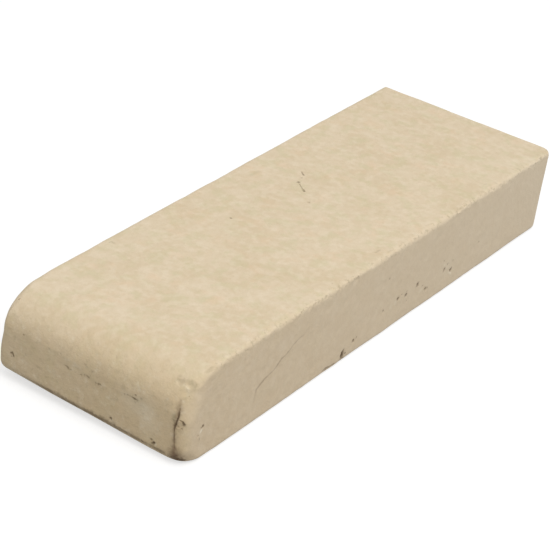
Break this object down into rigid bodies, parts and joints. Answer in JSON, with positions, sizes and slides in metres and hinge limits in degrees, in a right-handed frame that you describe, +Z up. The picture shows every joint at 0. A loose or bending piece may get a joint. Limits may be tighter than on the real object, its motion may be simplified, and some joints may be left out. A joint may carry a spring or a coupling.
{
  "type": "limestone coping stone",
  "caption": "Rectangular limestone coping stone with a rolled bullnose on one short end, sawn flat bed and joint faces, and tumbled, softly worn arrises.",
  "frame": {"origin": "middle of the flat bed face that the stone lies on", "axes": "+X across the course from one joint face to the other, +Y from the rolled nose to the back end, +Z up from the bed to the top face"},
  "size_m": [0.102, 0.305, 0.0445],
  "materials": {
    "limestone": "matte"
  },
  "bodies": {
    "root": {"coping_stone": "limestone"}
  },
  "joints": []
}
